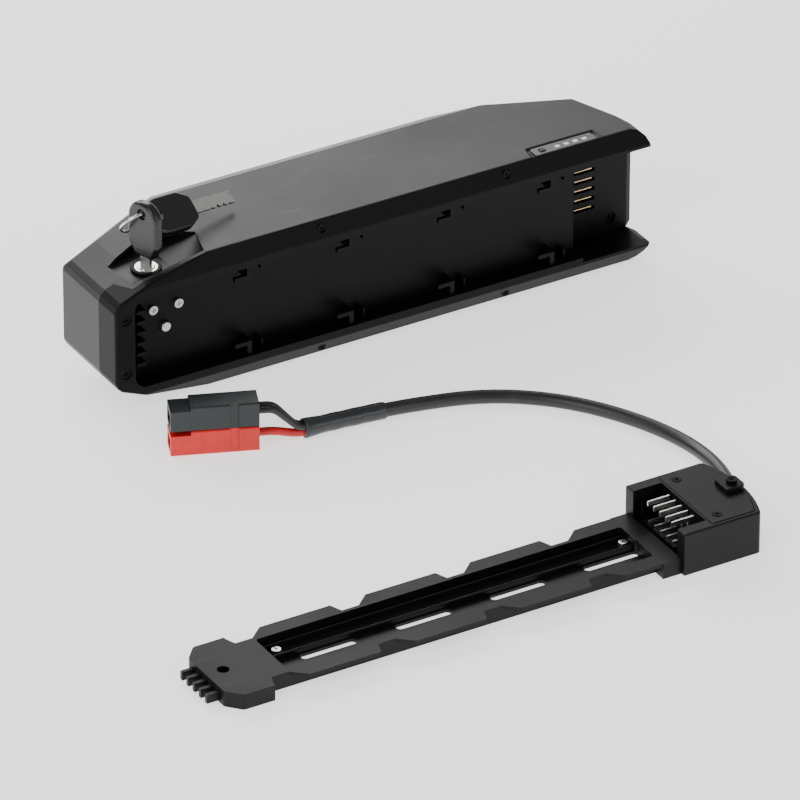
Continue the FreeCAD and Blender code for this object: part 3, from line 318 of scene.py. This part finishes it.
@dataclass(frozen=True)
class LampDiffuser:
    """Milky lamp cover with a faint glow and fine frost."""

    name: str = "lamp_diffuser"
    glow: float = 0.25

    def make(self) -> bpy.types.Material:
        """Build the material."""
        graph = Graph(self.name)
        frost = graph.noise(1500.0, 2.0)
        graph.set(Base_Color=graph.blend(frost, (0.6, 0.6, 0.58), (0.8, 0.8, 0.78)),
                  Roughness=0.35 + frost * 0.2, Emission_Color=(0.9, 0.92, 1.0, 1.0),
                  Emission_Strength=self.glow)
        graph.bump(frost, 0.00002, 0.4)
        return graph.material


class Finish(Enum):
    """Every finish on the object."""

    CASE_TUB = MouldedPlastic("case_tub", (0.0105, 0.0105, 0.011), 0.42, specular=0.34)
    CASE_COVER = MouldedPlastic("case_cover", (0.0022, 0.0022, 0.0024), 0.46, smudge=0.05,
                                specular=0.12)
    DOCK = MouldedPlastic("dock_plastic", (0.003, 0.003, 0.0032), 0.46, 2200.0, 0.00005,
                          specular=0.22)
    KEY_BOW = MouldedPlastic("key_bow_plastic", (0.006, 0.006, 0.006), 0.3, 3200.0, 0.00003,
                             coat=0.15)
    GAUGE_STRIP = MouldedPlastic("gauge_strip", (0.009, 0.009, 0.010), 0.32, 5000.0, 0.000005,
                                 coat=0.05)
    BUTTON = MouldedPlastic("button_plastic", (0.02, 0.02, 0.021), 0.5)
    CHIP = MouldedPlastic("chip_plastic", (0.015, 0.015, 0.015), 0.5)
    HOLDER = MouldedPlastic("holder_plastic", (0.04, 0.04, 0.04), 0.5)
    CELL = MouldedPlastic("cell_sleeve", (0.04, 0.22, 0.36), 0.3, 900.0, 0.00002)
    CARD = MouldedPlastic("card", (0.35, 0.42, 0.26), 0.8, 1200.0, 0.00006)
    PLUG_RED = MouldedPlastic("plug_red_plastic", (0.62, 0.012, 0.01), 0.4, 2400.0, 0.00004,
                              coat=0.1)
    PLUG_BLACK = MouldedPlastic("plug_black_plastic", (0.016, 0.021, 0.022), 0.42, 2400.0, 0.00004)
    SCREW = PlatedMetal("zinc_screw", (0.62, 0.62, 0.6), 0.24)
    LOCK = PlatedMetal("plated_lock", (0.7, 0.69, 0.66), 0.16, (1.0, 1.0, 4.0))
    KEY = PlatedMetal("nickel_key", (0.66, 0.64, 0.59), 0.26, (6.0, 6.0, 1.0))
    RING = PlatedMetal("ring_wire", (0.68, 0.68, 0.67), 0.14)
    NICKEL = PlatedMetal("nickel_strip", (0.6, 0.57, 0.5), 0.35, (1.0, 9.0, 1.0))
    BLADE = PlatedMetal("tinned_blade", (0.72, 0.71, 0.68), 0.26, (1.0, 9.0, 1.0))
    CONTACT = PlatedMetal("plated_contact", (0.7, 0.52, 0.25), 0.3)
    RUBBER = SoftRubber("black_rubber", (0.008, 0.008, 0.008), 0.6)
    FOAM = SoftRubber("foam", (0.05, 0.05, 0.05), 0.9, 600.0, 0.0004)
    CABLE = SoftRubber("cable_sheath", (0.011, 0.010, 0.011), 0.4, 1200.0, 0.00006, 1.8)
    SLEEVE = SoftRubber("heat_shrink", (0.016, 0.018, 0.02), 0.34, 500.0, 0.00012, 1.5)
    WIRE_RED = SoftRubber("red_wire", (0.5, 0.008, 0.008), 0.4, bloom=1.2)
    WIRE_BLACK = SoftRubber("black_wire", (0.009, 0.009, 0.009), 0.4)
    BOARD = CircuitBoard()
    LAMP = LampDiffuser()


class Palette:
    """Makes each finish once."""

    def __init__(self) -> None:
        """Start with nothing made."""
        self._made: dict[Finish, bpy.types.Material] = {}

    def get(self, finish: Finish) -> bpy.types.Material:
        """The finish's material."""
        if finish not in self._made:
            self._made[finish] = finish.value.make()
        return self._made[finish]

    def dress(self, target: bpy.types.Object, finish: Finish) -> None:
        """Put one finish on the whole of a node or piece."""
        material = self.get(finish)
        if target.material_slots:
            for slot in target.material_slots:
                slot.material = material
        else:
            target.data.materials.append(material)
        LOG.info("%s: %s", target.name, material.name)

    def dress_all(self, nodes: dict, finishes: dict[str, Finish]) -> None:
        """Put its finish on each named node."""
        for name, finish in finishes.items():
            self.dress(nodes[name], finish)


# ---- surfaces --------------------------------------------------------------------------------
def grid_mesh(name: str, points: np.ndarray) -> bpy.types.Object:
    """Capped surface over a grid of points, closed round its columns.

    Quad (i, j) joins row i to row i + 1 and column j to column j + 1, and the column index wraps.
    A cap is one polygon over an end row.

    Args:
        name: The object's name.
        points: Array of rows x columns x 3, in metres; a row is one ring round the surface.

    Returns:
        The new object, at the origin.
    """
    rows, columns = points.shape[:2]
    i, j = np.meshgrid(np.arange(rows - 1), np.arange(columns), indexing="ij")
    below, above = i * columns, (i + 1) * columns
    right = (j + 1) % columns
    quads = np.stack([below + j, below + right, above + right, above + j], axis=-1).reshape(-1, 4)
    faces = quads.tolist()
    faces.append(list(range(columns - 1, -1, -1)))
    faces.append(list(range((rows - 1) * columns, rows * columns)))
    mesh = bpy.data.meshes.new(name)
    mesh.from_pydata(points.reshape(-1, 3).tolist(), [], faces)
    mesh.polygons.foreach_set("use_smooth", np.ones(len(faces), dtype=bool))
    mesh.update()
    made = bpy.data.objects.new(name, mesh)
    bpy.context.collection.objects.link(made)
    return made


def ring_frames(path: np.ndarray) -> tuple[np.ndarray, np.ndarray]:
    """Two directions across a path at each point.

    The tangent is the difference of the points on both sides, or on one side at an end. The first
    direction is the part of +Z that is square to the tangent, and the second is tangent x first.

    Args:
        path: Array of points.

    Returns:
        Arrays of the first and second directions.
    """
    tangent = np.gradient(path, axis=0)
    tangent /= np.linalg.norm(tangent, axis=1, keepdims=True)
    up = np.array([0.0, 0.0, 1.0]) - tangent * tangent[:, 2:3]
    up /= np.linalg.norm(up, axis=1, keepdims=True)
    return up, np.cross(tangent, up)


def ring_angles(count: int) -> np.ndarray:
    """Evenly spaced angles once round, from 0."""
    return np.linspace(0, 2 * math.pi, count, endpoint=False)


def tube(name: str, path: np.ndarray, radius: np.ndarray) -> bpy.types.Object:
    """Closed tube along an open path.

    point = path + radius x (up cos(angle) + across sin(angle)).

    Args:
        name: The object's name.
        path: Array of points along the middle.
        radius: Array of rows x sides, the radius at each point and angle.

    Returns:
        The new object.
    """
    up, across = ring_frames(path)
    angle = ring_angles(radius.shape[1])
    spokes = (up[:, None] * np.cos(angle)[None, :, None]
              + across[:, None] * np.sin(angle)[None, :, None])
    points = path[:, None] + spokes * radius[..., None]
    return grid_mesh(name, points)


def nurbs_line(name: str, points: np.ndarray) -> bpy.types.Object:
    """Smooth open curve with the points as its control points.

    Args:
        name: The object's name.
        points: Array of control points, in metres.

    Returns:
        The curve object, with no thickness.
    """
    curve = bpy.data.curves.new(name, "CURVE")
    curve.dimensions = "3D"
    spline = curve.splines.new("NURBS")
    spline.points.add(len(points) - 1)
    packed = np.concatenate([points, np.ones((len(points), 1))], axis=1)
    spline.points.foreach_set("co", packed.astype(np.float32).ravel())
    spline.order_u = 3
    spline.use_endpoint_u = True
    curve.resolution_u = CURVE_STEPS
    made = bpy.data.objects.new(name, curve)
    bpy.context.collection.objects.link(made)
    return made


def read_line(line: bpy.types.Object) -> np.ndarray:
    """Points along a curve that has no bevel."""
    bpy.context.view_layer.update()
    graph = bpy.context.evaluated_depsgraph_get()
    mesh = bpy.data.meshes.new_from_object(line.evaluated_get(graph))
    points = np.empty(len(mesh.vertices) * 3, dtype=np.float32)
    mesh.vertices.foreach_get("co", points)
    bpy.data.meshes.remove(mesh)
    return points.reshape(-1, 3).astype(float)


# ---- assemblies ------------------------------------------------------------------------------
@dataclass
class Lead:
    """Cable from the dock's box to its sleeve, three wires and two stacked connectors."""

    palette: Palette
    nodes: dict
    radius: float = 0.00425
    sleeve_radius: float = 0.0052
    sleeve_length: float = 0.054
    overrun: float = 0.006
    flare: float = 0.0009
    flare_share: float = 0.3
    lip_depth: float = 0.0006
    lip_fade: float = 0.02
    ripple_depth: float = 0.00012
    ripple_rate: float = 26.0
    route: tuple[tuple[float, float, float], ...] = (
        (0.184, 0.016, 0.012), (0.195, 0.040, 0.008), (0.199, 0.082, 0.0046),
        (0.186, 0.123, 0.0046), (0.161, 0.1625, 0.0046), (0.125, 0.191, 0.0046),
        (0.081, 0.2035, 0.0046), (0.0455, 0.2074, 0.0056), (0.0175, 0.2086, 0.0066),
    )
    finishes: dict[str, Finish] = field(default_factory=lambda: {
        "wire_red": Finish.WIRE_RED,
        "wire_black_a": Finish.WIRE_BLACK,
        "wire_black_b": Finish.WIRE_BLACK,
        "plug_red": Finish.PLUG_RED,
        "plug_black": Finish.PLUG_BLACK,
        "plug_contacts": Finish.CONTACT,
        "gland": Finish.RUBBER,
    })

    def build(self) -> None:
        """Make the cable and its sleeve, and dress the connectors."""
        cable = nurbs_line("cable", np.array(self.route))
        path = read_line(cable)
        cable.data.bevel_depth = self.radius
        cable.data.bevel_resolution = BEVEL_STEPS
        cable.data.use_fill_caps = True
        self.palette.dress(cable, Finish.CABLE)
        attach(cable, "dock")
        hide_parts("lead_cable")
        sleeve = self.sleeve(path)
        self.palette.dress_all(self.nodes, self.finishes)

    def sleeve(self, path: np.ndarray) -> bpy.types.Object:
        """Shrunk sleeve that shows the cable's end and the wires under it.

        The path is the cable's last stretch, carried on past its end. The radius is drawn in
        at the entry, swells towards the mouth, and ripples along and round the sleeve:
        sleeve_radius + flare x u^1.5 - lip_depth x exp(-t / lip_fade)
        + ripple_depth x sin(ripple_rate t) x cos(2 angle + 3 t), where t goes from 0 to 1 along
        the sleeve and u from 0 to 1 over its last flare_share.

        Args:
            path: Points along the cable.

        Returns:
            The sleeve.
        """
        ahead = path[-1] - path[-2]
        ahead /= np.linalg.norm(ahead)
        beyond = path[-1] + ahead * np.linspace(self.overrun / 4, self.overrun, 4)[:, None]
        whole = np.concatenate([path, beyond])
        left = np.linalg.norm(np.diff(whole, axis=0), axis=1)[::-1].cumsum()[::-1]
        stretch = whole[:-1][left < self.sleeve_length]
        stretch = np.concatenate([stretch, whole[-1:]])
        t = np.linspace(0, 1, SLEEVE_ROWS)
        along = np.linspace(0, 1, len(stretch))
        line = np.stack([np.interp(t, along, stretch[:, axis]) for axis in range(3)], axis=1)
        angle = ring_angles(TUBE_SIDES)
        flare_start = 1 - self.flare_share
        swell = self.flare * np.clip((t - flare_start) / self.flare_share, 0, 1) ** 1.5
        lip = -self.lip_depth * np.exp(-t / self.lip_fade)
        ripple = (self.ripple_depth * np.sin(self.ripple_rate * t)[:, None]
                  * np.cos(2 * angle + 3 * t[:, None]))
        radius = (self.sleeve_radius + swell + lip)[:, None] + ripple
        made = tube("shrink_sleeve", line, radius)
        self.palette.dress(made, Finish.SLEEVE)
        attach(made, "dock")
        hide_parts("heat_shrink")
        return made


@dataclass
class SplitRing:
    """Two-turn wire ring through both key bows."""

    palette: Palette
    wire: float = 0.0006
    turns: float = 2.0
    cad_wire: float = 0.0009

    def build(self) -> None:
        """Make the ring where the CAD ring lies.

        The path is centre + radius x (level cos(t) + up sin(t)) + shift x normal. The shift grows
        by one wire thickness over both turns, so the turns lie half inside each other.
        """
        low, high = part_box("key_ring")
        centre = np.array((Vector(low) + Vector(high)) / 2)
        radius = float(high[0] - low[0]) / 2 - self.cad_wire
        rise, run = float(high[2] - low[2]), float(high[1] - low[1])
        level, up = np.array([1.0, 0.0, 0.0]), np.array([0.0, -run, rise])
        up /= np.linalg.norm(up)
        normal = np.cross(level, up)
        t = np.linspace(0, 2 * math.pi * self.turns, COIL_ROWS)
        shift = (t / t[-1] - 0.5) * 2 * self.wire
        path = (centre + radius * (np.cos(t)[:, None] * level + np.sin(t)[:, None] * up)
                + shift[:, None] * normal)
        ring = self.coil(path, normal)
        self.palette.dress(ring, Finish.RING)
        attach(ring, "key_ring")
        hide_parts("key_ring")

    def coil(self, path: np.ndarray, normal: np.ndarray) -> bpy.types.Object:
        """Round wire along the coil.

        point = path + wire x (normal cos(angle) + (tangent x normal) sin(angle)).

        Args:
            path: Points along the coil.
            normal: Direction square to the ring.

        Returns:
            The ring.
        """
        tangent = np.gradient(path, axis=0)
        tangent /= np.linalg.norm(tangent, axis=1, keepdims=True)
        first = normal - tangent * (tangent @ normal)[:, None]
        second = np.cross(tangent, first)
        angle = ring_angles(WIRE_SIDES)
        points = path[:, None] + self.wire * (first[:, None] * np.cos(angle)[None, :, None]
                                             + second[:, None] * np.sin(angle)[None, :, None])
        return grid_mesh("split_ring", points)


@dataclass
class PackCase:
    """The case, its cover, gauge, lock parts and inner pieces."""

    palette: Palette
    nodes: dict
    finishes: dict[str, Finish] = field(default_factory=lambda: {
        "case_shell": Finish.CASE_TUB,
        "case_channel_cover": Finish.CASE_COVER,
        "case_gasket": Finish.RUBBER,
        "case_screws": Finish.CASE_COVER,
        "channel_screws": Finish.SCREW,
        "contact_socket": Finish.CASE_COVER,
        "socket_contacts": Finish.CONTACT,
        "level_window": Finish.GAUGE_STRIP,
        "level_leds": Finish.LAMP,
        "level_board": Finish.BOARD,
        "level_button": Finish.BUTTON,
        "charge_port": Finish.CASE_COVER,
        "charge_cap": Finish.RUBBER,
        "cells": Finish.CELL,
        "cell_holder_upper": Finish.HOLDER,
        "cell_holder_lower": Finish.HOLDER,
        "nickel_strips_upper": Finish.NICKEL,
        "nickel_strips_lower": Finish.NICKEL,
        "insulation_sheets": Finish.CARD,
        "foam_pads": Finish.FOAM,
        "bms_board": Finish.BOARD,
        "bms_components": Finish.CHIP,
        "inner_leads": Finish.WIRE_RED,
        "lock_bezel": Finish.CASE_COVER,
        "lock_body": Finish.LOCK,
        "lock_core": Finish.LOCK,
        "lock_cam": Finish.SCREW,
        "lock_bolt": Finish.SCREW,
        "key_blade": Finish.KEY,
        "key_bow": Finish.KEY_BOW,
        "spare_key_blade": Finish.KEY,
        "spare_key_bow": Finish.KEY_BOW,
    })

    def build(self) -> None:
        """Dress every node of the pack and add its surfaces."""
        self.palette.dress_all(self.nodes, self.finishes)
        SplitRing(self.palette).build()


@dataclass
class Dock:
    """Tray, contact box, lid, blades and their screws."""

    palette: Palette
    nodes: dict
    finishes: dict[str, Finish] = field(default_factory=lambda: {
        "dock_plate": Finish.DOCK,
        "dock_box": Finish.DOCK,
        "box_cover": Finish.DOCK,
        "contact_block": Finish.DOCK,
        "cable_clamp": Finish.DOCK,
        "dock_screws": Finish.SCREW,
        "cover_screws": Finish.CASE_COVER,
        "clamp_screw": Finish.CASE_COVER,
        "contact_blades": Finish.BLADE,
    })

    def build(self) -> None:
        """Dress every node of the dock."""
        self.palette.dress_all(self.nodes, self.finishes)


# ---- stage -----------------------------------------------------------------------------------
@dataclass
class Studio:
    """Pale floor, soft lights and the camera."""

    azimuth: float = -30.3
    elevation: float = 30.7
    distance: float = 6.0
    lens: float = 467.0
    target: tuple[float, float, float] = (0.04, 0.18, 0.04)
    shift: tuple[float, float] = (0.0359, -0.0146)
    floor_colour: tuple[float, float, float] = (0.92, 0.92, 0.92)
    floor_glow: float = 1.15
    floor_reach: float = 12.0
    floor_drop: float = 0.0005
    world_colour: tuple[float, float, float] = (0.9, 0.92, 0.95)
    world_strength: float = 0.45
    clip_end: float = 50.0
    lights: tuple[tuple[str, tuple, tuple, float], ...] = (
        ("back_strip", (0.1, 1.8, 1.1), (2.2, 0.8), 30.0),
        ("left_soft", (-1.7, -0.3, 1.1), (0.9, 1.3), 16.0),
        ("front_fill", (0.7, -1.8, 0.9), (1.4, 0.9), 10.0),
    )

    def direction(self) -> Vector:
        """Unit vector from the object to the camera: (sin a cos e, -cos a cos e, sin e)."""
        a, e = math.radians(self.azimuth), math.radians(self.elevation)
        return Vector((math.sin(a) * math.cos(e), -math.cos(a) * math.cos(e), math.sin(e)))

    def camera(self) -> None:
        """Add the camera."""
        data = bpy.data.cameras.new("camera")
        data.lens = self.lens
        data.shift_x, data.shift_y = self.shift
        data.clip_end = self.clip_end
        made = bpy.data.objects.new("camera", data)
        bpy.context.collection.objects.link(made)
        made.location = Vector(self.target) + self.direction() * self.distance
        made.rotation_euler = (-self.direction()).to_track_quat("-Z", "Y").to_euler()
        bpy.context.scene.camera = made

    def floor(self) -> None:
        """Add a wide pale floor."""
        mesh = bpy.data.meshes.new("floor")
        reach, low = self.floor_reach, -self.floor_drop
        outline = [(-reach, -reach, low), (reach, -reach, low), (reach, reach, low),
                   (-reach, reach, low)]
        mesh.from_pydata(outline, [], [(0, 1, 2, 3)])
        made = bpy.data.objects.new("floor", mesh)
        bpy.context.collection.objects.link(made)
        graph = Graph("floor_paper")
        graph.set(Base_Color=(*self.floor_colour, 1.0), Roughness=0.9,
                  Emission_Color=(1.0, 1.0, 1.0, 1.0), Emission_Strength=self.floor_glow)
        mesh.materials.append(graph.material)

    def light(self, name: str, place: tuple, size: tuple[float, float], power: float) -> None:
        """Add a soft rectangular light that faces the object.

        Args:
            name: The light's name.
            place: Where it stands.
            size: Width and height.
            power: Watts.
        """
        data = bpy.data.lights.new(name, "AREA")
        data.shape = "RECTANGLE"
        data.size, data.size_y = size
        data.energy = power
        made = bpy.data.objects.new(name, data)
        bpy.context.collection.objects.link(made)
        made.location = place
        aim = Vector(self.target) - Vector(place)
        made.rotation_euler = aim.to_track_quat("-Z", "Y").to_euler()

    def world(self) -> None:
        """Even pale surroundings."""
        world = bpy.data.worlds.new("surroundings")
        world.use_nodes = True
        background = world.node_tree.nodes["Background"].inputs
        background["Color"].default_value = (*self.world_colour, 1.0)
        background["Strength"].default_value = self.world_strength
        bpy.context.scene.world = world

    def build(self) -> None:
        """Set up everything."""
        self.world()
        self.camera()
        self.floor()
        for name, place, size, power in self.lights:
            self.light(name, place, size, power)


def main() -> None:
    """Load the frame, set up the studio and build every assembly."""
    logging.basicConfig(level=logging.INFO, format="%(name)s: %(message)s")
    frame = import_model()
    palette = Palette()
    Studio().build()
    Lead(palette, frame["nodes"]).build()
    PackCase(palette, frame["nodes"]).build()
    Dock(palette, frame["nodes"]).build()


if __name__ == "__main__":
    main()
